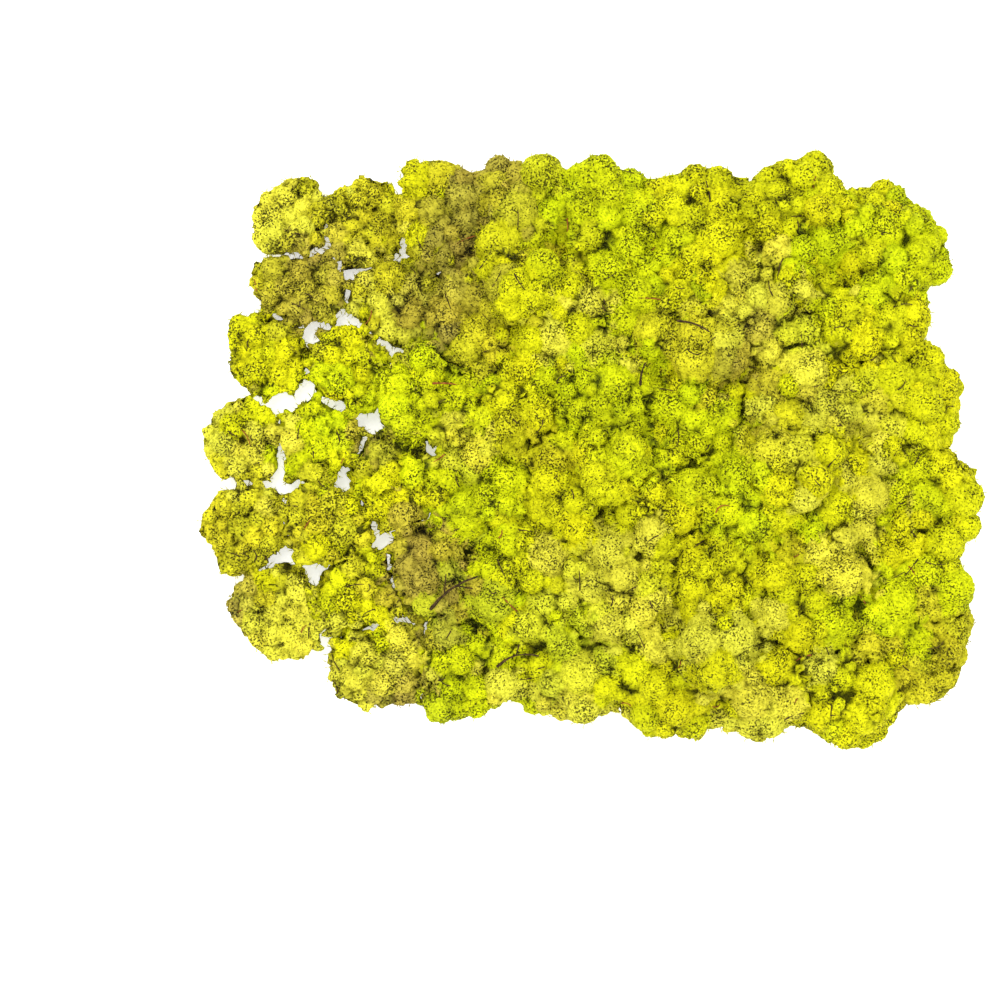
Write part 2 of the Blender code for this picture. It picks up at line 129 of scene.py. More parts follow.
@dataclass(frozen=True)
class Lobes:
    """Rounded lobes that fill space, one round each point of a jittered grid, in metres."""

    size: float
    salt: int

    def at(self, places: Array) -> tuple[Array, Array]:
        """Finds how high the lobe is at each place, and a number of its own.

        With d1 and d2 the distances to the nearest two lobe middles and e = 2 d1 / (d1 + d2), which is 0 in
        the middle of a lobe and 1 where two meet, the height is sqrt(1 - e squared), a round dome.

        Args:
            places: points, one a row.

        Returns:
            The heights from 0 to 1, and the numbers from 0 to 1.
        """
        home = np.floor(places / self.size).astype(np.int64)
        steps = np.stack(np.meshgrid(*[(-1, 0, 1)] * 3, indexing="ij"), axis=-1).reshape(-1, 3)
        cells = home[:, None] + steps
        jitter = np.stack([hashed(cells, self.salt + axis) for axis in range(3)], axis=-1)
        away = np.linalg.norm(places[:, None] - (cells + 0.15 + 0.7 * jitter) * self.size, axis=2)
        order = np.argsort(away, axis=1)[:, :2]
        row = np.arange(len(places))
        nearest, second = away[row, order[:, 0]], away[row, order[:, 1]]
        edge = 2 * nearest / (nearest + second)
        return np.sqrt(np.maximum(0.0, 1 - edge**2)), hashed(cells[row, order[:, 0]], self.salt + 5)


class Dye(Enum):
    """How a part of the lichen took the dye, as the colours of its tips and of its deeper parts. The deeper
    colour is darker partly by the dye and partly as painted shade deep in the tuft.
    """

    BRIGHT = ("#D5D40C", "#A2A506")
    PALE = ("#DAD53A", "#AAA616")
    GREEN = ("#CAD308", "#92A305")
    OLIVE = ("#CBC520", "#908A10")
    BROWN = ("#A8973E", "#403414")

    @property
    def tip(self) -> Array:
        """The colour of the branchlets' tips, in linear light."""
        return np.array(linear(self.value[0]))

    @property
    def deep(self) -> Array:
        """The colour of the branchlets' roots, in linear light: partly their own darker colour and partly
        painted shade deep in the tuft.
        """
        return np.array(linear(self.value[1]))


@dataclass(frozen=True)
class Patch:
    """A place where the dye took differently: its middle and radius in metres, and what it turned to."""

    x: float
    y: float
    radius: float
    dye: Dye


# The x, y and radius of each patch, in the order in which they lie over each other.
PATCHES = tuple(
    Patch(x, y, radius, dye)
    for dye, spots in (
        (Dye.BROWN, ((-0.077, 0.197, 0.037), (-0.226, 0.135, 0.034), (-0.117, 0.123, 0.035))),
        (Dye.BROWN, ((-0.106, 0.175, 0.024), (-0.118, -0.109, 0.036), (-0.168, 0.010, 0.024))),
        (Dye.OLIVE, ((-0.050, 0.007, 0.020),)),
        (Dye.BROWN, ((0.124, 0.074, 0.022),)),
        (Dye.OLIVE, ((-0.008, 0.150, 0.016), (0.162, -0.075, 0.013))),
        (Dye.BROWN, ((-0.150, -0.189, 0.020), (-0.282, -0.121, 0.018))),
        (Dye.OLIVE, ((0.068, 0.099, 0.018),)),
        (Dye.BROWN, ((-0.142, -0.078, 0.018),)),
        (Dye.GREEN, ((-0.150, 0.051, 0.034), (0.010, 0.043, 0.038), (0.090, 0.011, 0.030))),
        (Dye.GREEN, ((-0.034, 0.199, 0.024), (0.022, 0.195, 0.024), (0.166, 0.099, 0.022))),
        (Dye.GREEN, ((-0.018, -0.149, 0.029), (0.250, -0.021, 0.022), (0.110, -0.021, 0.024))),
        (Dye.PALE, ((-0.094, 0.011, 0.024), (0.026, -0.101, 0.032), (0.156, 0.011, 0.027))),
        (Dye.PALE, ((0.226, 0.027, 0.027), (0.138, 0.123, 0.027), (0.202, -0.085, 0.024))),
    )
    for x, y, radius in spots
)
# How stringy a head gets in a patch of these. All other moss has few strands.
PATCH_STRINGS = {Dye.BROWN: 0.7, Dye.OLIVE: 0.5}
FEW_STRINGS = 0.05
OLIVE_TUFT_STRINGS = 0.4

NODE_DYES = {"bright": Dye.BRIGHT, "pale": Dye.PALE, "green": Dye.GREEN, "olive": Dye.OLIVE}


class Surface:
    """A closed triangle mesh with a direction out of it at each corner and some values carried there."""

    def __init__(self, corners: Array, triangles: Array, values: Array | None = None) -> None:
        """Averages the faces' directions at each corner, weighted by area.

        Args:
            corners: the corners, one a row.
            triangles: the three corners of each face, anticlockwise seen from outside.
            values: what is carried at each corner, one corner a row.
        """
        self.corners = corners
        self.triangles = triangles
        self.values = np.zeros((len(corners), 0)) if values is None else values
        a, b, c = (corners[triangles[:, k]] for k in range(3))
        cross = np.cross(b - a, c - a)
        self.areas = np.linalg.norm(cross, axis=1) / 2
        summed = np.zeros_like(corners)
        for k in range(3):
            np.add.at(summed, triangles[:, k], cross)
        self.normals = unit(summed)

    @classmethod
    def of_node(cls, node: bpy.types.Object) -> "Surface":
        """The surface of a CAD node, with its corners joined.

        Args:
            node: the node's object.

        Returns:
            The surface.
        """
        mesh = node.data
        mesh.calc_loop_triangles()
        points = np.empty(3 * len(mesh.vertices), np.float32)
        mesh.vertices.foreach_get("co", points)
        points = points.reshape(-1, 3).astype(float)
        triangles = np.empty(3 * len(mesh.loop_triangles), np.int32)
        mesh.loop_triangles.foreach_get("vertices", triangles)
        _, first, joined = np.unique(np.round(points / 1e-6), axis=0, return_index=True, return_inverse=True)
        return cls(points[first], joined.reshape(-1)[triangles.reshape(-1, 3)])

    def finer(self, longest: Array) -> "Surface":
        """The surface with each edge cut in half that is longer than allowed, and its flat faces bulged.

        A new corner is the middle of its edge, plus 0.4 times the sum of the two vectors from there to the
        planes through the edge's ends square to their directions. Its values are the means of its ends'. A
        triangle with one, two or three cut edges becomes two, three or four.

        Args:
            longest: the longest edge that is left whole at each corner.

        Returns:
            The finer surface.
        """
        ends = np.sort(self.triangles[:, [[0, 1], [1, 2], [2, 0]]].reshape(-1, 2), axis=1).astype(np.int64)
        keys, index = np.unique(ends[:, 0] * len(self.corners) + ends[:, 1], return_inverse=True)
        edges = np.stack((keys // len(self.corners), keys % len(self.corners)), axis=1)
        tails, heads = self.corners[edges[:, 0]], self.corners[edges[:, 1]]
        cut = np.linalg.norm(heads - tails, axis=1) > longest[edges].mean(axis=1)
        halfway = (tails + heads) / 2
        bulge = np.zeros_like(halfway)
        for end, side in ((tails, 0), (heads, 1)):
            normal = self.normals[edges[:, side]]
            bulge += ((end - halfway) * normal).sum(axis=1, keepdims=True) * normal
        numbers = np.where(cut, len(self.corners) + np.cumsum(cut) - 1, -1)
        middle = numbers[index.reshape(-1, 3)]
        cuts = (middle >= 0).sum(axis=1)
        turn = np.where(cuts == 1, middle.argmax(axis=1), np.where(cuts == 2, middle.argmin(axis=1) + 1, 0))
        order = (turn[:, None] + np.arange(3)) % 3
        a, b, c = np.take_along_axis(self.triangles, order, axis=1).T
        ab, bc, ca = np.take_along_axis(middle, order, axis=1).T
        patterns = (
            ((a, b, c),),
            ((a, ab, c), (ab, b, c)),
            ((a, ab, bc), (ab, b, bc), (a, bc, c)),
            ((a, ab, ca), (ab, b, bc), (ca, bc, c), (ab, bc, ca)),
        )
        triangles = np.concatenate([
            np.stack(piece, axis=1)[cuts == count]
            for count, pieces in enumerate(patterns)
            for piece in pieces
        ])
        corners = np.concatenate((self.corners, (halfway + 0.4 * bulge)[cut]))
        values = np.concatenate((self.values, self.values[edges].mean(axis=1)[cut]))
        return Surface(corners, triangles, values)

    def calmed(self, furthest: float) -> "Surface":
        """The surface with each corner that sticks out too far put at the mean of the corners next to it.

        Args:
            furthest: how far a corner may be from that mean.

        Returns:
            The calmer surface.
        """
        corners = self.corners.copy()
        for _ in range(3):
            total = np.zeros_like(corners)
            count = np.zeros(len(corners))
            for tail, head in ((0, 1), (1, 2), (2, 0)):
                np.add.at(total, self.triangles[:, tail], corners[self.triangles[:, head]])
                np.add.at(count, self.triangles[:, tail], 1)
            mean = total / np.maximum(count, 1)[:, None]
            stray = np.linalg.norm(corners - mean, axis=1) > furthest
            corners[stray] = mean[stray]
        return Surface(corners, self.triangles, self.values)

    def scatter(self, spacing: float, crowding: float, random: np.random.Generator) -> "Places":
        """Spreads places evenly over the surface.

        A place is w1 a + w2 b + w3 c on a triangle that is drawn by area. One place is then kept in each
        small cube, and again in cubes shifted by half their size.

        Args:
            spacing: the size of the small cubes.
            crowding: how many places are tried for each small square of surface.
            random: the generator to draw from.

        Returns:
            The places.
        """
        count = int(self.areas.sum() / spacing**2 * crowding)
        face = random.choice(len(self.areas), count, p=self.areas / self.areas.sum())
        u, v = np.sqrt(random.random(count)), random.random(count)
        weights = np.stack((1 - u, u * (1 - v), u * v), axis=1)[..., None]
        corners = self.triangles[face]
        points = (weights * self.corners[corners]).sum(axis=1)
        kept = np.arange(count)
        for shift in (0.0, 0.5):
            cube = np.floor(points[kept] / spacing + shift).astype(np.int64)
            key = (cube[:, 0] * 4096 + cube[:, 1]) * 4096 + cube[:, 2]
            kept = kept[np.sort(np.unique(key, return_index=True)[1])]
        blend = weights[kept]
        return Places(
            points[kept],
            unit((blend * self.normals[corners[kept]]).sum(axis=1)),
            (blend * self.values[corners[kept]]).sum(axis=1),
        )


@dataclass(frozen=True)
class Places:
    """Points on a surface, the directions that point out of it there, and the values carried there."""

    points: Array
    normals: Array
    values: Array

    def keep(self, chosen: Array) -> "Places":
        """Only the chosen points."""
        return Places(self.points[chosen], self.normals[chosen], self.values[chosen])


class Crowd:
    """Several surfaces together, to tell how far each place is from a surface other than its own."""

    start_gap = 0.05 * MM
    far = 60 * MM
    step_ahead = 2 * MM
    cover = 2.5 * MM
    from_above = 1.0

    def __init__(self, surfaces: dict[str, Surface]) -> None:
        """Builds one search tree over all of them and remembers whose each triangle is.

        Args:
            surfaces: the surfaces by their names.
        """
        start = np.cumsum([0] + [len(surface.corners) for surface in surfaces.values()])
        self.order = {name: order for order, name in enumerate(surfaces)}
        self.owners = np.repeat(np.arange(len(surfaces)), [len(s.triangles) for s in surfaces.values()])
        corners = np.concatenate([surface.corners for surface in surfaces.values()])
        triangles = np.concatenate([s.triangles + offset for s, offset in zip(surfaces.values(), start)])
        self.tree = BVHTree.FromPolygons(corners.tolist(), triangles.tolist())

    def clearance(self, name: str, points: Array, directions: Array, reach: float) -> Array:
        """How far along its direction each place of a piece is from another piece.

        Args:
            name: the piece.
            points: its places, one a row.
            directions: their directions.
            reach: how far to look.

        Returns:
            The distances, or the reach where no other piece is met within it.
        """
        own = self.order[name]
        found = np.full(len(points), reach)
        starts = points + directions * self.start_gap
        for index, (start, direction) in enumerate(zip(starts.tolist(), directions.tolist())):
            _, _, face, distance = self.tree.ray_cast(Vector(start), Vector(direction), reach)
            if face is not None and self.owners[face] != own:
                found[index] = distance
        return found

    def heights(self, places: Array) -> Array:
        """How high the topmost surface lies over each place in plan.

        Args:
            places: x and y, one place a row.

        Returns:
            The heights, 0 beside all the surfaces.
        """
        found = np.zeros(len(places))
        for index, (x, y) in enumerate(places.tolist()):
            hit, _, _, _ = self.tree.ray_cast(Vector((x, y, self.from_above)), Vector((0, 0, -1)))
            found[index] = hit.z if hit else 0.0
        return found

    def hidden(self, name: str, points: Array, normals: Array) -> Array:
        """Which places of a piece have another piece ahead and lie well under the top of the clump.

        The top is looked up a step ahead of the place, which is inside the other piece where the two touch.

        Args:
            name: the piece.
            points: its places, one a row.
            normals: their directions.

        Returns:
            True for each hidden place.
        """
        facing = self.clearance(name, points, normals, self.far) < self.far
        top = self.heights((points + self.step_ahead * normals)[:, :2])
        return facing & (top > points[:, 2] + self.cover)


@dataclass(frozen=True)
class HeadSizes:
    """The radii of the rounded heads, tried from large to small, and how they sit, in metres."""

    radii: tuple[float, ...] = (17 * MM, 13 * MM, 10.5 * MM, 8.5 * MM, 6.5 * MM, 5.0 * MM)
    most: tuple[int, ...] = (90, 240, 450, 700, 1200, 1500)
    apart: float = 0.80
    proud_least: float = -0.6 * MM
    proud_most: float = 2.4 * MM

    def height_for(self, radius: float) -> float:
        """The least height above the table for a head of this radius, so that thin moss has small ones."""
        return 3.2 * radius - 13 * MM


class Heads:
    """Every rounded head of the clump: balls just under the tufts' surfaces, shared by touching tufts."""

    def __init__(self, middles: Array, radii: Array, tips: Array, deeps: Array, stringy: Array) -> None:
        """Keeps the balls, their colours and how stringy each is.

        Args:
            middles: the balls' middles, one a row.
            radii: their radii.
            tips: the colour of the branchlets' tips on each.
            deeps: the colour of their roots.
            stringy: how stringy each is, from 0 to 1.
        """
        self.middles = middles
        self.radii = radii
        self.tips = tips
        self.deeps = deeps
        self.stringy = stringy

    def near(self, corners: Array) -> "Heads":
        """Only the heads whose middles lie in the box of a set of points, widened by 15 mm.

        Args:
            corners: the points, one a row.

        Returns:
            Those heads.
        """
        low, high = corners.min(axis=0) - 15 * MM, corners.max(axis=0) + 15 * MM
        chosen = ((self.middles > low) & (self.middles < high)).all(axis=1)
        kept = (self.middles, self.radii, self.tips, self.deeps, self.stringy)
        return Heads(*(values[chosen] for values in kept))

    def rise(self, points: Array, normals: Array, softness: Array) -> tuple[Array, Array, Array]:
        """How far each point has to move along its direction to lie on the heads.

        With m the vector from a ball's middle to the point, b = m . n and c = m . m - r squared, the ball is
        left at t = -b + sqrt(b squared - c). With t* the largest t and s the softness there, the balls merge
        into t* + s ln(sum of exp((t - t*) / s)).

        Args:
            points: points, one a row.
            normals: their directions.
            softness: how far from each other two balls still merge, for each point, in metres.

        Returns:
            The distances, -1 where no ball is met; the number of the ball, or of the nearest one; and how
            much farther out the ball is left than the next one, in metres.
        """
        away = points[:, None] - self.middles
        along = np.einsum("pbk,pk->pb", away, normals)
        square = np.einsum("pbk,pbk->pb", away, away)
        inside = along**2 - square + self.radii**2
        leave = np.where(inside > 0, -along + np.sqrt(np.maximum(inside, 0)), -1.0)
        best = leave.argmax(axis=1)
        nearest = (np.sqrt(square) - self.radii).argmin(axis=1)
        second, top = np.partition(leave, -2, axis=1)[:, -2:].T
        crowd = np.exp((leave - top[:, None]) / softness[:, None]).sum(axis=1)
        met = top > -12 * MM
        rise = np.where(met, top + softness * np.log(crowd), -1.0)
        return rise, np.where(met, best, nearest), top - second


@dataclass(frozen=True)
class HeadLayout:
    """Places the heads over all the tufts and colours them."""

    sizes: HeadSizes = HeadSizes()
    tone_spread: float = 0.11
    warm_spread: float = 0.04
    wander: float = 18 * MM
    ragged_edge: float = 0.35
    spacing: float = 3.4 * MM
    clear: float = 6 * MM
    lowest: float = 3 * MM

    def place(self, places: Places, random: np.random.Generator) -> tuple[Array, Array, Array]:
        """Throws darts: a head stays where it keeps its distance from every head that is there.

        Args:
            places: where heads may be, in random order.
            random: the generator to draw from.

        Returns:
            The chosen places' numbers, the radii and how far each head stands proud.
        """
        chosen = np.empty(0, int)
        radii = np.empty(0)
        for radius, most in zip(self.sizes.radii, self.sizes.most):
            added = 0
            tall_enough = np.flatnonzero(places.points[:, 2] > self.sizes.height_for(radius))
            for index in random.permutation(tall_enough):
                away = np.linalg.norm(places.points[chosen] - places.points[index], axis=1)
                if np.all(away > self.sizes.apart * (radii + radius)):
                    chosen = np.append(chosen, index)
                    radii = np.append(radii, radius)
                    added += 1
                    if added >= most:
                        break
        radii = radii * random.uniform(0.92, 1.08, len(radii))
        share = random.random(len(radii)) * (0.5 + 0.5 * radii / radii.max())
        proud = self.sizes.proud_least + share * (self.sizes.proud_most - self.sizes.proud_least)
        return chosen, radii, proud

    def colours(
        self, places: Array, tufts: dict[str, Array], random: np.random.Generator
    ) -> tuple[Array, ...]:
        """Colours for the heads: the dye of a tuft close by, then the patches, then a tone of its own.

        A patch counts fully up to 0.8 of its radius and fades out to nothing at 1.25, with the head's
        distance shifted by up to the ragged edge's share of the radius.

        Args:
            places: the heads' middles.
            tufts: the middle of each tuft by its name.
            random: the generator to draw from.

        Returns:
            The colours of tips and of roots in linear light, and how stringy each head is, from 0 to 1.
        """
        count = len(places)
        middles = np.array(list(tufts.values()))
        dyes = [NODE_DYES[name.split("_")[0]] for name in tufts]
        moved = places + random.normal(0, self.wander, (count, 3))
        owner = np.linalg.norm(moved[:, None] - middles, axis=2).argmin(axis=1)
        tips = np.array([dye.tip for dye in dyes])[owner]
        deeps = np.array([dye.deep for dye in dyes])[owner]
        strings = [OLIVE_TUFT_STRINGS if dye is Dye.OLIVE else FEW_STRINGS for dye in dyes]
        stringy = np.array(strings)[owner]
        for patch in PATCHES:
            away = np.hypot(places[:, 0] - patch.x, places[:, 1] - patch.y) / patch.radius
            away = away + self.ragged_edge * random.uniform(-1, 1, count)
            share = falling(away, 1.25, 0.45) * random.uniform(0.45, 1.0, count)
            tips = tips + 0.9 * share[:, None] * (patch.dye.tip - tips)
            deeps = deeps + 0.9 * share[:, None] * (patch.dye.deep - deeps)
            stringy = stringy + share * (PATCH_STRINGS.get(patch.dye, FEW_STRINGS) - stringy)
        tone = 1 + self.tone_spread * random.uniform(-1, 0.3, count)
        warm = 1 + self.warm_spread * random.uniform(-1, 1, count)
        shift = np.stack((tone * warm, tone, tone), axis=1)
        return tips * shift, deeps * shift, stringy

    def build(self, surfaces: dict[str, Surface], crowd: Crowd) -> Heads:
        """Makes the heads of the whole clump, clear of other tufts and of the table.

        Args:
            surfaces: the tufts' solids by their names.
            crowd: all of them together.

        Returns:
            The heads.
        """
        random = np.random.default_rng(SEED)
        found: list[Places] = []
        for name, surface in surfaces.items():
            places = surface.scatter(self.spacing, 3.0, random)
            clear = crowd.clearance(name, places.points, places.normals, self.clear) >= self.clear
            high = (places.points[:, 2] > self.lowest) & (places.normals[:, 2] > -0.75)
            found.append(places.keep(clear & high))
        points = np.concatenate([places.points for places in found])
        normals = np.concatenate([places.normals for places in found])
        chosen, radii, proud = self.place(Places(points, normals, np.zeros((len(points), 0))), random)
        middles = points[chosen] - normals[chosen] * (radii - proud)[:, None]
        tufts = {name: surface.corners.mean(axis=0) for name, surface in surfaces.items()}
        return Heads(middles, radii, *self.colours(points[chosen], tufts, random))


def add_piece(name: str, points: Array, triangles: Array, material: bpy.types.Material) -> bpy.types.Object:
    """Makes a smooth mesh object at the origin, lifts what is under the table and presses what is too tall.

    A height z over TALL_FROM becomes TALL_FROM + TALL_SHARE (z - TALL_FROM).

    Args:
        name: the object's name.
        points: its corners.
        triangles: the three corners of each face, anticlockwise seen from outside.
        material: what it is made of.

    Returns:
        The object.
    """
    points = points.copy()
    points[:, 2] = np.maximum(points[:, 2], TABLE_CLEARANCE)
    points[:, 2] = np.minimum(points[:, 2], TALL_FROM + (points[:, 2] - TALL_FROM) * TALL_SHARE)
    mesh = bpy.data.meshes.new(name)
    mesh.vertices.add(len(points))
    mesh.vertices.foreach_set("co", points.astype(np.float32).ravel())
    mesh.loops.add(3 * len(triangles))
    mesh.loops.foreach_set("vertex_index", triangles.astype(np.int32).ravel())
    mesh.polygons.add(len(triangles))
    mesh.polygons.foreach_set("loop_start", np.arange(0, 3 * len(triangles), 3, dtype=np.int32))
    mesh.update(calc_edges=True)
    mesh.shade_smooth()
    mesh.materials.append(material)
    thing = bpy.data.objects.new(name, mesh)
    bpy.context.scene.collection.objects.link(thing)
    return thing


def spikes(roots: Array, tips: Array, width: Array) -> tuple[Array, Array]:
    """Thin darts from roots to tips, each a triangle at its root joined to a point.

    Corner k of a root triangle is root + width (cos 120k side + sin 120k across), with side and across
    square to the dart.

    Args:
        roots: where the darts start.
        tips: where they end.
        width: the radius of each root triangle.

    Returns:
        Corners, four for each dart with the tip last, and triangles.
    """
    ahead = unit(tips - roots)
    side = unit(np.cross(ahead, np.array((0.31, 0.17, 0.94))))
    across = np.cross(ahead, side)
    turn = np.arange(3) * 2 * math.pi / 3
    ring = side[:, None] * np.cos(turn)[:, None] + across[:, None] * np.sin(turn)[:, None]
    corners = np.concatenate((roots[:, None] + ring * width[:, None, None], tips[:, None]), axis=1)
    pattern = np.array(((0, 1, 3), (1, 2, 3), (2, 0, 3), (0, 2, 1)))
    triangles = (np.arange(len(roots)) * 4)[:, None, None] + pattern
    return corners.reshape(-1, 3), triangles.reshape(-1, 3)


class MeshParts:
    """Collects triangles with a colour and a nearness to the tip for each corner, and makes one mesh."""

    dart_nearness = (0.6, 0.6, 0.6, 1.0)

    def __init__(self) -> None:
        """Starts empty."""
        self.points: list[Array] = []
        self.triangles: list[Array] = []
        self.tints: list[Array] = []
        self.tips: list[Array] = []
        self.count = 0

    def add(self, points: Array, triangles: Array, tints: Array, tips: Array) -> None:
        """Adds corners and the triangles that join them.

        Args:
            points: the corners, one a row.
            triangles: the three corners of each face.
            tints: the corners' colours in linear light.
            tips: their nearness to a tip, from 0 to 1.
        """
        self.points.append(points)
        self.triangles.append(triangles + self.count)
        self.tints.append(tints)
        self.tips.append(tips)
        self.count += len(points)

    def add_darts(self, roots: Array, ends: Array, width: Array, tips: Array, deeps: Array) -> None:
        """Adds thin darts, of the tips' colour at the point and of the mean of both colours at the root.

        Args:
            roots: where the darts start.
            ends: where they end.
            width: the radius of each at its root.
            tips: the colour of each one's tip.
            deeps: the colour deeper down.
        """
        corners, triangles = spikes(roots, ends, width)
        tint = np.repeat((tips + deeps) / 2, 4, axis=0).reshape(-1, 4, 3)
        tint[:, 3] = tips
        self.add(corners, triangles, tint.reshape(-1, 3), np.tile(np.array(self.dart_nearness), len(roots)))

    def build(self, name: str, material: bpy.types.Material) -> bpy.types.Object:
        """Makes the object and gives each corner its tint and its nearness to a tip.

        Args:
            name: the object's name.
            material: what it is made of.

        Returns:
            The object.
        """
        thing = add_piece(name, np.concatenate(self.points), np.concatenate(self.triangles), material)
        tint = thing.data.attributes.new("tint", "FLOAT_COLOR", "POINT")
        rgba = np.ones((self.count, 4), np.float32)
        rgba[:, :3] = np.concatenate(self.tints)
        tint.data.foreach_set("color", rgba.ravel())
        tip = thing.data.attributes.new("tip", "FLOAT", "POINT")
        tip.data.foreach_set("value", np.concatenate(self.tips).astype(np.float32))
        return thing


@dataclass(frozen=True)
class Stars:
    """Whorls of short branchlets round the top of a branch, as seen on every head. Lengths in metres."""

    prongs: int = 3
    length: float = 2.2 * MM
    width: float = 0.62 * MM
    root_depth: float = 0.35 * MM
    rise: float = math.radians(18)
    rise_spread: float = math.radians(12)

    def grow(
        self, parts: MeshParts, places: Places, tips: Array, deeps: Array, random: np.random.Generator
    ) -> None:
        """Sets one star at each place.

        Prong k leaves the star's root at angle t + 360k/prongs round the outward direction n, raised by r
        from the surface: cos r (cos t u + sin t v) + sin r n.

        Args:
            parts: what the darts are added to.
            places: where the stars stand.
            tips: the colours of their tips.
            deeps: the colours of their roots.
            random: the generator to draw from.
        """
        count = len(places.points)
        normal = places.normals
        u = unit(np.cross(normal, np.array((0.23, 0.91, 0.34))))
        v = np.cross(normal, u)
        start = random.random(count) * 2 * math.pi
        step = np.arange(self.prongs) * 2 * math.pi / self.prongs
        turn = start[:, None] + step + random.normal(0, 0.25, (count, self.prongs))
        rise = self.rise + random.normal(0, self.rise_spread, (count, self.prongs))
        flat = np.cos(turn)[..., None] * u[:, None] + np.sin(turn)[..., None] * v[:, None]
        ahead = np.cos(rise)[..., None] * flat + np.sin(rise)[..., None] * normal[:, None]
        root = (places.points - normal * self.root_depth)[:, None] - flat * self.width * 0.2
        end = root + ahead * self.length * random.uniform(0.8, 1.2, (count, self.prongs, 1))
        width = self.width * random.uniform(0.8, 1.2, count * self.prongs)
        tips, deeps = np.repeat(tips, self.prongs, axis=0), np.repeat(deeps, self.prongs, axis=0)
        parts.add_darts(root.reshape(-1, 3), end.reshape(-1, 3), width, tips, deeps)


@dataclass(frozen=True)
class Strands:
    """Longer branches that fork, lying over the surface or standing out of it. In metres."""

    length: float = 8.0 * MM
    width: float = 0.5 * MM
    lift: float = 0.12
    bend: float = 0.4

    def grow(
        self, parts: MeshParts, places: Places, tips: Array, deeps: Array, random: np.random.Generator
    ) -> None:
        """Sets one forked strand at each place: a lower dart, an upper dart from its middle and a side dart.

        Args:
            parts: what the darts are added to.
            places: where the strands start.
            tips: the colours of their tips.
            deeps: the colours of their roots.
            random: the generator to draw from.
        """
        count = len(places.points)
        normal = places.normals
        sideways = unit(np.cross(normal, random.normal(0, 1, (count, 3))))
        length = self.length * random.uniform(0.6, 1.2, (count, 1))
        ahead = unit(sideways + normal * random.uniform(0, 2 * self.lift, (count, 1)))
        turned = unit(ahead + self.bend * random.normal(0, 1, (count, 3)))
        branch = unit(ahead + 0.8 * unit(random.normal(0, 1, (count, 3))))
        root = places.points - normal * 0.4 * MM
        middle = root + ahead * length * 0.55
        for begin, end, share in (
            (root, middle + ahead * length * 0.1, 1.0),
            (middle - ahead * length * 0.15, middle + turned * length * 0.45, 0.8),
            (middle - ahead * length * 0.2, middle + branch * length * 0.30, 0.7),
        ):
            parts.add_darts(begin, end, np.full(count, self.width * share), tips, deeps)


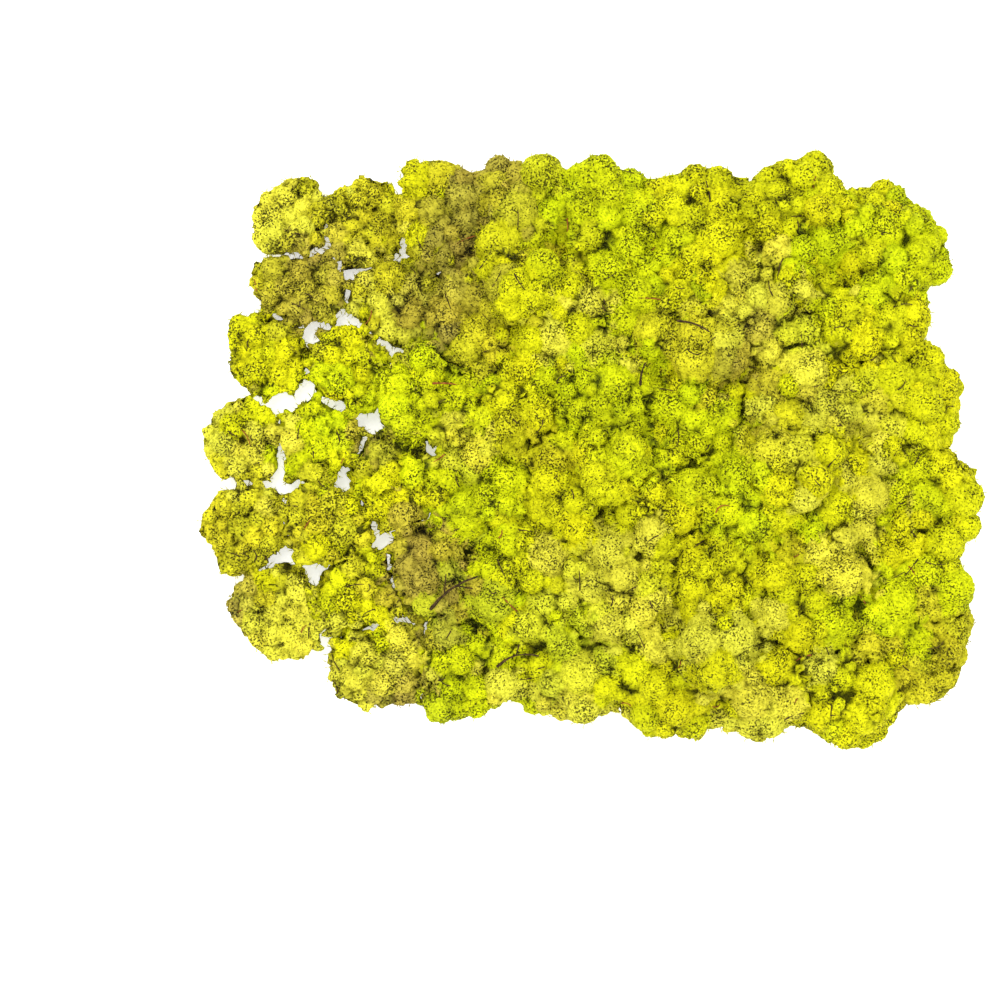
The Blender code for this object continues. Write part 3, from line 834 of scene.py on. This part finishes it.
@dataclass
class Tuft:
    """One tuft: a skin of rounded heads with florets, and the branchlets and strands that cover it."""

    name: str
    solid: Surface
    crowd: Crowd
    heads: Heads
    finest_edge: float = 2.4 * MM
    side_edge: float = 3.6 * MM
    hidden_edge: float = 9.0 * MM
    pit: float = 7.0 * MM
    shallow_share: float = 0.38
    most_rise: float = 3.2 * MM
    thin_painted_light: float = 0.11
    seam_reach: float = 20 * MM
    closed_gap: tuple[float, float, float] = (0.222, -0.137, 20 * MM)
    crease_depth: float = 1.3 * MM
    crease_width: float = 0.8 * MM
    floret_height: float = 0.5 * MM
    crumb_height: float = 0.5 * MM
    warp: float = 2.0 * MM
    open_share: float = 0.60
    wear: float = 11.0 * MM
    cluster_groove: float = 1.6 * MM
    cluster_tone: float = 0.18
    cluster_edge: float = 0.38
    furthest_stray: float = 4.0 * MM
    crowding: float = 5.0
    hidden_share: float = 0.05
    # How much light the painted shade leaves at the bottom of a pit, on the skin and on the branchlets.
    pit_painted_shade: float = 0.17
    branchlet_pit_painted_shade: float = 0.38
    fringe_reach: float = 8 * MM
    florets: Lobes = Lobes(5.6 * MM, 31)
    crumbs: Lobes = Lobes(2.9 * MM, 77)
    clusters: Lobes = Lobes(27 * MM, 47)
    merging: Lobes = Lobes(28 * MM, 13)
    raggedness: Lobes = Lobes(13 * MM, 19)

    def finer_solid(self) -> Surface:
        """The tuft's solid with short edges on top, longer ones on its sides and long ones where hidden.

        Returns:
            The finer surface, without values of its own.
        """
        fine = self.solid.finer(np.full(len(self.solid.corners), 6 * MM))
        upright = falling(fine.normals[:, 2], 0.45, 0.3)
        longest = self.finest_edge + upright * (self.side_edge - self.finest_edge)
        hidden = self.crowd.hidden(self.name, fine.corners, fine.normals) | (fine.normals[:, 2] < -0.4)
        fine = Surface(fine.corners, fine.triangles, np.where(hidden, self.hidden_edge, longest)[:, None])
        for _ in range(4):
            fine = fine.finer(fine.values[:, 0])
        return fine

    def closing(self, fine: Surface, ahead: Array, thick: Array, level: Array, ragged: Array) -> Array:
        """How much each corner closes the gap to the tuft ahead of it, from 0 for open to 1 for closed.

        It is the largest of: the eased share 1 - ahead / reach; in the thick part, a share for walls that
        face another tuft within the reach; and 1 on the walls round the one wide gap. On the thin part it
        counts only where the ragged lobes stand higher than the open share.

        Args:
            fine: the finer solid.
            ahead: the way from each corner to the tuft ahead.
            thick: the thick part's share at each corner.
            level: how much each corner belongs to a wall.
            ragged: the height of the ragged lobes there.

        Returns:
            The shares.
        """
        close = eased(np.clip(1 - ahead / (self.seam_reach * (0.6 + 0.4 * thick)), 0, 1))
        facing = falling(ahead, self.seam_reach, 0.3 * self.seam_reach) * level * thick
        gap_x, gap_y, gap_radius = self.closed_gap
        beside = np.hypot(fine.corners[:, 0] - gap_x, fine.corners[:, 1] - gap_y)
        close = np.maximum.reduce((close, facing, (beside < gap_radius) * level))
        return close * np.maximum(thick, ragged > self.open_share)

    def build_skin(self) -> Surface:
        """The tuft's solid, finer, moved out or in along its directions to the heads' surfaces.

        The move is the larger of the way to the heads and the way that closes a gap, at least minus the
        pit's depth, less the wear of the walls of the thin part. With h the height of a lobe from 0 to 1,
        florets and crumbs add their height times (h - 1/2), and the crease where two heads meet and the
        groove where two clusters meet take theirs away. A painted light share rises with the move and is
        less in creases, in grooves and at the edges of florets: it paints shade into pits, creases and
        grooves.

        Returns:
            The skin, which carries the painted light share, tip colour, root colour and stringiness.
        """
        fine = self.finer_solid()
        heads = self.heads.near(fine.corners)
        merged = self.merging.at(fine.corners)[0] ** 2
        dome, number = self.florets.at(fine.corners)
        bent = fine.corners + (self.florets.at(fine.corners + 0.02)[0] - 0.5)[:, None] * self.warp
        rise, owner, apart = heads.rise(bent, fine.normals, (0.20 + 0.9 * merged) * MM)
        crease = np.exp(-apart / self.crease_width) * (1 - 0.8 * merged)
        ahead = self.crowd.clearance(self.name, fine.corners, fine.normals, 1.4 * self.seam_reach)
        thick = rising(fine.corners[:, 0], THIN_TO, THIN_FADE)
        level = falling(np.abs(fine.normals[:, 2]), 0.75, 0.3)
        ragged, _ = self.raggedness.at(fine.corners * np.array((1, 1, 0.3)))
        close = self.closing(fine, ahead, thick, level, ragged)
        deep = falling(self.raggedness.at(fine.corners - 0.03)[0], 0.62, 0.20)
        pit = self.pit * (self.shallow_share + (1 - self.shallow_share) * deep)
        least = -pit + close * (pit + 0.6 * MM + ahead / 2)
        under = rising(-fine.normals[:, 2], 0.4, 0.3)
        least = np.maximum(least, -self.pit * (1 - under))
        most = self.most_rise + close * (1 * MM + ahead / 2)
        worn = (1 - thick) * level * falling(ragged, 0.75, 0.35)
        move = np.clip(np.maximum(rise, least), -self.pit, most) - worn * self.wear
        # Painted light and shade: a share that is low deep in pits, in creases between heads, in grooves
        # between clusters and at floret edges, and the skin and its branchlets are coloured darker by it.
        raised = rising(move, -pit, 1.6 * MM)
        painted_light = rising(move, -self.pit, 0.65 * self.pit) * (0.70 + 0.30 * raised)
        painted_light = eased(painted_light) * (1 - 0.50 * crease) * (0.92 + 0.08 * dome)
        cluster, own = self.clusters.at(fine.corners + 2.5 * (bent - fine.corners))
        groove = np.clip(1 - cluster / self.cluster_edge, 0, 1)
        painted_light = 1 - (1 - painted_light * (1 - 0.45 * groove)) ** 1.6
        crumb, _ = self.crumbs.at(fine.corners)
        relief = self.floret_height * (dome - 0.5) + self.crumb_height * (crumb - 0.5)
        move = move + (relief - self.crease_depth * crease - self.cluster_groove * groove) * (1 - under)
        tone = ((0.97 + 0.06 * number) * (1 + self.cluster_tone * (own - 0.8)))[:, None]
        # Painted light: the thin moss is coloured brighter, as if lit through from below.
        tone = tone * (1 + self.thin_painted_light * (1 - thick))[:, None]
        colours = (heads.tips[owner] * tone, heads.deeps[owner] * tone)
        values = np.concatenate((painted_light[:, None], *colours, heads.stringy[owner, None]), axis=1)
        corners = fine.corners + fine.normals * move[:, None]
        corners[:, 2] = np.maximum(corners[:, 2], TABLE_CLEARANCE)
        return Surface(corners, fine.triangles, values).calmed(self.furthest_stray)

    def dress(
        self, skin: Surface, skins: Crowd, material: bpy.types.Material, spacing: float, seed: int
    ) -> bpy.types.Object:
        """Covers the skin with branchlets and strands and puts the tuft in the place of its CAD node.

        Args:
            skin: the tuft's skin.
            skins: all the skins, to leave out what nobody can see.
            material: the dyed lichen.
            spacing: the distance between branchlets.
            seed: the number that the chances are drawn from.

        Returns:
            The tuft's object.
        """
        random = np.random.default_rng(SEED + seed)
        parts = MeshParts()
        lit, tip, deep = skin.values[:, 0, None], skin.values[:, 1:4], skin.values[:, 4:7]
        # Painted shade: the skin is darker, and nearer its root colour, where the painted light share is low.
        shade = (self.pit_painted_shade + (1 - self.pit_painted_shade) * lit) * (deep + lit * (tip - deep))
        parts.add(skin.corners, skin.triangles, shade, np.zeros(len(skin.corners)))
        places = skin.scatter(spacing, self.crowding, random)
        reach = self.fringe_reach
        ahead = skins.clearance(self.name, places.points, places.normals, reach) < reach
        low = (places.normals[:, 2] < -0.4) | (places.points[:, 2] < 1.5 * MM)
        rare = skins.hidden(self.name, places.points, places.normals) | low
        values = np.concatenate((places.values, ~ahead[:, None]), axis=1)
        seen = Places(places.points, places.normals, values)
        places = seen.keep(~rare | (random.random(len(rare)) < self.hidden_share))
        # Painted shade: branchlets deep in pits and creases get darker tips and roots.
        shown = self.branchlet_pit_painted_shade + (1 - self.branchlet_pit_painted_shade) * places.values[:, 0, None]
        tips = places.values[:, 1:4] * shown * random.uniform(0.90, 1.01, (len(shown), 1))
        deeps = places.values[:, 4:7] * shown
        thin = falling(places.points[:, 0], THICK_FROM, THIN_FADE)
        loose = random.random(len(places.points))
        level = np.abs(places.normals[:, 2]) < 0.45
        fringe = level & (places.values[:, 8] > 0.5) & (loose < 0.15 + 0.35 * thin)
        stringy = ~fringe & (loose < places.values[:, 7] + 0.15 * thin)
        star = ~fringe & ~stringy
        Stars().grow(parts, places.keep(star), tips[star], deeps[star], random)
        Strands().grow(parts, places.keep(stringy), tips[stringy], deeps[stringy], random)
        outward = Strands(length=6.5 * MM, lift=0.9)
        outward.grow(parts, places.keep(fringe), tips[fringe], tips[fringe] * 0.8, random)
        thing = parts.build(f"{self.name}_branchlets", material)
        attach(thing, "root")
        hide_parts(self.name)
        return thing


def new_material(name: str, settings: dict[str, object]) -> tuple[bpy.types.Material, bpy.types.Node]:
    """Starts a material and sets its shader's own sockets.

    Args:
        name: what the real material is.
        settings: a value for each socket, by its name.

    Returns:
        The material and its shader.
    """
    material = bpy.data.materials.new(name)
    material.use_nodes = True
    shader = material.node_tree.nodes["Principled BSDF"]
    for socket, value in settings.items():
        shader.inputs[socket].default_value = value
    return material, shader


def add_node(
    tree: bpy.types.NodeTree, kind: str, settings: dict | None = None, **links: object
) -> bpy.types.Node:
    """Adds a node with its settings and inputs.

    Args:
        tree: the material's node tree.
        kind: the node's type name.
        settings: attributes of the node itself.
        links: an input's name, with underscores for spaces, or _ and its number, and an output socket to
            link it to or a value to give it.

    Returns:
        The node.
    """
    node = tree.nodes.new(kind)
    for name, value in (settings or {}).items():
        setattr(node, name, value)
    for name, value in links.items():
        socket = node.inputs[int(name[1:])] if name[0] == "_" else node.inputs[name.replace("_", " ")]
        if isinstance(value, bpy.types.NodeSocket):
            tree.links.new(value, socket)
        else:
            socket.default_value = value
    return node


@dataclass(frozen=True)
class DyedLichen:
    """Reindeer lichen, dried, dyed and kept soft with glycerine: matt, a little waxy, with paler tips.

    The tint comes from each branchlet's own colour, with the painted shade of pits and creases in it. A
    mottle of about 5 mm breaks it up. Meshes 2.2 mm wide, darker in the middle, and pores of about 1 mm, in
    patches of about 18 mm with more and fewer of them, stand for the net of branchlet tips; the darker
    middles and the pores are painted shade in the gaps between the tips. The real net is finer, and it is
    drawn as coarse as it needs to show.
    """

    name: str
    roughness: float = 0.82
    ior: float = 1.45
    specular: float = 0.12
    mottle: float = 0.045
    mesh_spacing: float = 2.2 * MM
    painted_mesh_shade: float = 0.70
    pore_spacing: float = 1.65 * MM
    pore_least: float = 0.36
    pore_most: float = 0.49
    pore_shade: float = 0.11
    mottle_spacing: float = 5 * MM
    density_spacing: float = 18 * MM

    def build(self) -> bpy.types.Material:
        """Makes the material: tint x mottle x mesh x pore, with no pores where a branchlet covers them. The
        mesh and the pores are painted shade.

        Returns:
            The material.
        """
        gloss = {"Roughness": self.roughness, "IOR": self.ior, "Specular IOR Level": self.specular}
        material, shader = new_material(self.name, gloss)
        tree = material.node_tree
        place = add_node(tree, "ShaderNodeTexCoord").outputs["Object"]
        tint = add_node(tree, "ShaderNodeAttribute", {"attribute_name": "tint"})
        tip = add_node(tree, "ShaderNodeAttribute", {"attribute_name": "tip"})
        mottle = add_node(tree, "ShaderNodeTexNoise", Vector=place, Scale=1 / self.mottle_spacing, Detail=2.0)
        wide = add_node(
            tree, "ShaderNodeMapRange", Value=mottle.outputs["Fac"],
            From_Min=0.3, From_Max=0.7, To_Min=1 - self.mottle, To_Max=1 + self.mottle,
        )
        holes = add_node(
            tree, "ShaderNodeTexNoise", Vector=place, Scale=1 / self.pore_spacing, Detail=2.0, Roughness=0.6,
        )
        density = add_node(
            tree, "ShaderNodeTexNoise", Vector=place, Scale=1 / self.density_spacing, Detail=1.0,
        )
        edge = add_node(
            tree, "ShaderNodeMapRange", Value=density.outputs["Fac"],
            From_Min=0.35, From_Max=0.65, To_Min=self.pore_least, To_Max=self.pore_most,
        )
        above = add_node(
            tree, "ShaderNodeMath", {"operation": "SUBTRACT"}, _0=holes.outputs["Fac"], _1=edge.outputs[0],
        )
        # Painted shade: dark pores where the gaps between branchlet tips fall in shade.
        painted_pore_shade = add_node(
            tree, "ShaderNodeMapRange", Value=above.outputs[0],
            From_Min=-0.01, From_Max=0.03, To_Min=self.pore_shade, To_Max=1.0,
        )
        covered = add_node(
            tree, "ShaderNodeMapRange", Value=tip.outputs["Fac"],
            From_Min=0.0, From_Max=0.5, To_Min=0.0, To_Max=1.0,
        )
        pore = add_node(
            tree, "ShaderNodeMath", {"operation": "MAXIMUM"}, _0=painted_pore_shade.outputs[0], _1=covered.outputs[0],
        )
        meshes = add_node(tree, "ShaderNodeTexVoronoi", Vector=place, Scale=1 / self.mesh_spacing)
        # Painted shade: each mesh of the net is darker in its middle, where its gap falls in shade.
        mesh = add_node(
            tree, "ShaderNodeMapRange", Value=meshes.outputs["Distance"],
            From_Min=0.10, From_Max=0.55, To_Min=self.painted_mesh_shade, To_Max=1.0,
        )
        light = add_node(
            tree, "ShaderNodeMath", {"operation": "MULTIPLY"}, _0=wide.outputs[0], _1=mesh.outputs[0],
        )
        strength = add_node(
            tree, "ShaderNodeMath", {"operation": "MULTIPLY"}, _0=light.outputs[0], _1=pore.outputs[0],
        )
        colour = add_node(
            tree, "ShaderNodeVectorMath", {"operation": "SCALE"},
            _0=tint.outputs["Color"], Scale=strength.outputs[0],
        )
        tree.links.new(colour.outputs["Vector"], shader.inputs["Base Color"])
        return material


@dataclass(frozen=True)
class DryBark:
    """Bark of a thin dry twig: matt, flaky, dark brown with paler worn streaks about 3 mm long."""

    name: str
    dark: str
    pale: str
    roughness: float = 0.8
    specular: float = 0.12
    streak: float = 3 * MM
    ridge: float = 0.3 * MM

    def build(self) -> bpy.types.Material:
        """Makes the material, with low ridges along with the paler streaks.

        Returns:
            The material.
        """
        gloss = {"Roughness": self.roughness, "Specular IOR Level": self.specular}
        material, shader = new_material(self.name, gloss)
        tree = material.node_tree
        place = add_node(tree, "ShaderNodeTexCoord").outputs["Object"]
        streaks = add_node(tree, "ShaderNodeTexNoise", Vector=place, Scale=1 / self.streak, Detail=4.0)
        share = add_node(
            tree, "ShaderNodeMapRange", Value=streaks.outputs["Fac"],
            From_Min=0.4, From_Max=0.7, To_Min=0.0, To_Max=1.0,
        )
        colour = add_node(
            tree, "ShaderNodeMix", {"data_type": "RGBA"},
            _0=share.outputs[0], _6=(*linear(self.dark), 1), _7=(*linear(self.pale), 1),
        )
        bump = add_node(
            tree, "ShaderNodeBump", Height=streaks.outputs["Fac"], Distance=self.ridge, Strength=0.6,
        )
        tree.links.new(colour.outputs[2], shader.inputs["Base Color"])
        tree.links.new(bump.outputs["Normal"], shader.inputs["Normal"])
        return material


@dataclass
class Moss:
    """All the tufts of the clump."""

    spacing: float = 3.25 * MM

    def build(self) -> Crowd:
        """Shapes every skin first and then dresses each tuft in turn.

        Returns:
            All the skins together.
        """
        names = [name for name in sorted(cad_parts) if "_tuft_" in name]
        solids = {name: Surface.of_node(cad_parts[name]) for name in names}
        crowd = Crowd(solids)
        heads = HeadLayout().build(solids, crowd)
        LOG.info("%d heads", len(heads.radii))
        tufts = {name: Tuft(name, solids[name], crowd, heads) for name in names}
        skins = {name: tuft.build_skin() for name, tuft in tufts.items()}
        skin_crowd = Crowd(skins)
        LOG.info("%d triangles of skin", sum(len(skin.triangles) for skin in skins.values()))
        materials = {kind: DyedLichen(f"dyed_reindeer_lichen_{kind}").build() for kind in NODE_DYES}
        made = []
        for order, (name, tuft) in enumerate(tufts.items()):
            material = materials[name.split("_")[0]]
            thing = tuft.dress(skins[name], skin_crowd, material, self.spacing, order + 1)
            LOG.info("%s: %d triangles", thing.name, len(thing.data.polygons))
            made.append(thing)
        LOG.info("%d triangles of moss", sum(len(thing.data.polygons) for thing in made))
        return skin_crowd


def tubes(paths: Array, radii: Array, sides: int) -> tuple[Array, Array]:
    """Round sticks along bent lines, closed at both ends.

    Corner k of a ring is point + radius (cos(360k/sides) side + sin(360k/sides) up), with side level and up
    square to it and to the way ahead.

    Args:
        paths: the points of each line, as sticks x rings x 3.
        radii: the radius at each ring.
        sides: how many corners a ring has.

    Returns:
        Corners and triangles.
    """
    sticks, rings = radii.shape
    ahead = unit(np.gradient(paths, axis=1))
    side = unit(np.cross(ahead, np.array((0.02, 0.03, 1.0))))
    up = np.cross(side, ahead)
    turn = np.arange(sides) * 2 * math.pi / sides
    around = np.cos(turn)[:, None] * side[:, :, None] + np.sin(turn)[:, None] * up[:, :, None]
    corners = (paths[:, :, None] + radii[:, :, None, None] * around).reshape(-1, 3)
    ring, step = np.meshgrid(np.arange(rings - 1), np.arange(sides), indexing="ij")
    here = ring * sides + step
    beside = ring * sides + (step + 1) % sides
    wall = np.stack((here, here + sides, beside, beside, here + sides, beside + sides), axis=-1)
    fan = np.arange(1, sides - 1)
    first = np.stack((np.zeros_like(fan), fan, fan + 1), axis=1)
    last = np.stack((np.zeros_like(fan), fan + 1, fan), axis=1) + (rings - 1) * sides
    pattern = np.concatenate((wall.reshape(-1, 3), first, last))
    triangles = (np.arange(sticks) * rings * sides)[:, None, None] + pattern
    return corners, triangles.reshape(-1, 3)


@dataclass
class Twigs:
    """The twigs that lie on the tufts, each with knots and flaking bark."""

    knot_height: float = 0.35 * MM
    knots: Lobes = Lobes(3.6 * MM, 91)

    def build(self, dark: bpy.types.Material, red: bpy.types.Material) -> None:
        """Makes each CAD twig finer and moves it out by the knots' height times (dome squared - 0.35).

        Args:
            dark: the dark bark.
            red: the reddish bark.
        """
        names = [name for name in sorted(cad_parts) if "_tuft_" not in name]
        for name in names:
            solid = Surface.of_node(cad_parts[name])
            fine = solid.finer(np.zeros(len(solid.corners)))
            fine = fine.finer(np.zeros(len(fine.corners)))
            dome, _ = self.knots.at(fine.corners)
            points = fine.corners + fine.normals * (self.knot_height * (dome**2 - 0.35))[:, None]
            thing = add_piece(f"{name}_bark", points, fine.triangles, red if name == "red_stick" else dark)
            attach(thing, "root")
            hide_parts(name)
            LOG.info("%s: %d triangles", thing.name, len(fine.triangles))


@dataclass
class Needles:
    """Fallen needles and bits of twig caught in the moss. Lengths in metres."""

    dark_count: int = 190
    red_count: int = 45
    shortest: float = 4 * MM
    longest: float = 18 * MM
    radius: float = 0.55 * MM
    bow: float = 0.10
    rings: int = 5
    sides: int = 5

    def lay(self, name: str, count: int, skins: Crowd, material: bpy.types.Material, seed: int) -> None:
        """Lays needles down on the tufts.

        A needle runs through ground place + heading (s - 1/2) length + side bow length (1 - (2s - 1)^2), with
        s from 0 to 1. It tilts along the straight line that fits the moss's heights under it best.

        Args:
            name: the object's name.
            count: how many needles are tried.
            skins: the tufts' skins.
            material: the bark.
            seed: the number that the chances are drawn from.
        """
        random = np.random.default_rng(SEED * 100 + seed)
        low, high = np.array(CAD_BOX[0]), np.array(CAD_BOX[1])
        middle = random.uniform(low[:2] + 12 * MM, high[:2] - 12 * MM, (count, 2))
        heading = random.uniform(0, 2 * math.pi, count)
        length = self.shortest + (self.longest - self.shortest) * random.random(count) ** 1.6
        s = np.linspace(0, 1, self.rings)
        ahead = np.stack((np.cos(heading), np.sin(heading)), axis=1)
        side = np.stack((-ahead[:, 1], ahead[:, 0]), axis=1)
        bow = random.normal(0, self.bow, count) * length
        flat = middle[:, None] + ((s - 0.5) * length[:, None])[..., None] * ahead[:, None]
        flat = flat + ((1 - (2 * s - 1) ** 2) * bow[:, None])[..., None] * side[:, None]
        height = skins.heights(flat.reshape(-1, 2)).reshape(count, self.rings)
        lying = (height > 4 * MM).all(axis=1) & (np.ptp(height, axis=1) < 0.6 * length)
        centred = s - 0.5
        slope = (height * centred).sum(axis=1) / (centred**2).sum()
        line = height.mean(axis=1)[:, None] + slope[:, None] * centred + 0.9 * MM
        paths = np.concatenate((flat, line[..., None]), axis=2)[lying]
        taper = 1 - 0.45 * s
        radii = (self.radius * random.uniform(0.75, 1.25, count))[lying, None] * taper
        corners, triangles = tubes(paths, radii, self.sides)
        thing = add_piece(name, corners, triangles, material)
        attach(thing, "root")
        LOG.info("%s: %d needles", name, len(paths))

    def build(self, skins: Crowd, dark: bpy.types.Material, red: bpy.types.Material) -> None:
        """Lays the dark and the reddish needles."""
        self.lay("dark_needles", self.dark_count, skins, dark, 1)
        self.lay("reddish_needles", self.red_count, skins, red, 2)


@dataclass
class Studio:
    """A pale opal floor, soft lights and a camera straight above. Metres and watts."""

    floor_size: float = 6.0
    floor_glow: float = 0.5
    sky_light: float = 1.45
    lights: tuple[tuple[str, tuple[float, float, float], float, float], ...] = (
        ("key_light", (-1.0, 1.3, 2.9), 1.8, 38),
        ("fill_light", (1.6, -1.2, 2.6), 2.2, 16),
    )
    camera_place: tuple[float, float, float] = (-0.070, -0.037, 2.4)
    view_width: float = 0.8
    sensor_mm: float = 36.0

    def add_floor(self) -> None:
        """Lays a near-white matt floor of opal glass, lit a little from below as a light table is."""
        half = self.floor_size / 2
        mesh = bpy.data.meshes.new("floor")
        corners = [(-half, -half, 0), (half, -half, 0), (half, half, 0), (-half, half, 0)]
        mesh.from_pydata(corners, [], [(0, 1, 2, 3)])
        floor = bpy.data.objects.new("floor", mesh)
        bpy.context.scene.collection.objects.link(floor)
        opal = {"Base Color": (*linear("#F6F6F6"), 1), "Roughness": 0.9}
        glow = {"Emission Color": (1, 1, 1, 1), "Emission Strength": self.floor_glow}
        mesh.materials.append(new_material("opal_light_table", opal | glow)[0])

    def add_light(self, name: str, place: tuple[float, float, float], size: float, watts: float) -> None:
        """Hangs up a square soft light that points at the middle of the clump.

        Args:
            name: the light's name.
            place: where it hangs.
            size: the length of its side.
            watts: its power.
        """
        light = bpy.data.lights.new(name, "AREA")
        light.size = size
        light.energy = watts
        thing = bpy.data.objects.new(name, light)
        thing.location = place
        thing.rotation_euler = (-Vector(place)).to_track_quat("-Z", "Y").to_euler()
        thing.visible_camera = False
        bpy.context.scene.collection.objects.link(thing)

    def add_camera(self) -> None:
        """Sets up a camera straight above, with the photograph's frame on the floor."""
        camera = bpy.data.cameras.new("camera")
        camera.sensor_width = self.sensor_mm
        camera.lens = self.sensor_mm * self.camera_place[2] / self.view_width
        camera.clip_end = 20
        thing = bpy.data.objects.new("camera", camera)
        thing.location = self.camera_place
        bpy.context.scene.collection.objects.link(thing)
        bpy.context.scene.camera = thing

    def build(self) -> None:
        """Sets up the floor, the lights, an even white sky and the camera."""
        self.add_floor()
        for light in self.lights:
            self.add_light(*light)
        world = bpy.data.worlds.new("studio")
        world.use_nodes = True
        sky = world.node_tree.nodes["Background"]
        sky.inputs["Color"].default_value = (1, 1, 1, 1)
        sky.inputs["Strength"].default_value = self.sky_light
        bpy.context.scene.world = world
        bpy.context.scene.view_settings.view_transform = "Standard"
        self.add_camera()


def main() -> None:
    """Builds the moss, the twigs and the studio, in that order."""
    logging.basicConfig(level=logging.INFO, format="%(message)s")
    skins = Moss().build()
    dark = DryBark("dry_conifer_twig_bark", "#2A2111", "#5A4526").build()
    red = DryBark("reddish_heather_twig_bark", "#6A3416", "#A8672E").build()
    Twigs().build(dark, red)
    Needles().build(skins, dark, red)
    Studio().build()


if __name__ == "__main__":
    main()
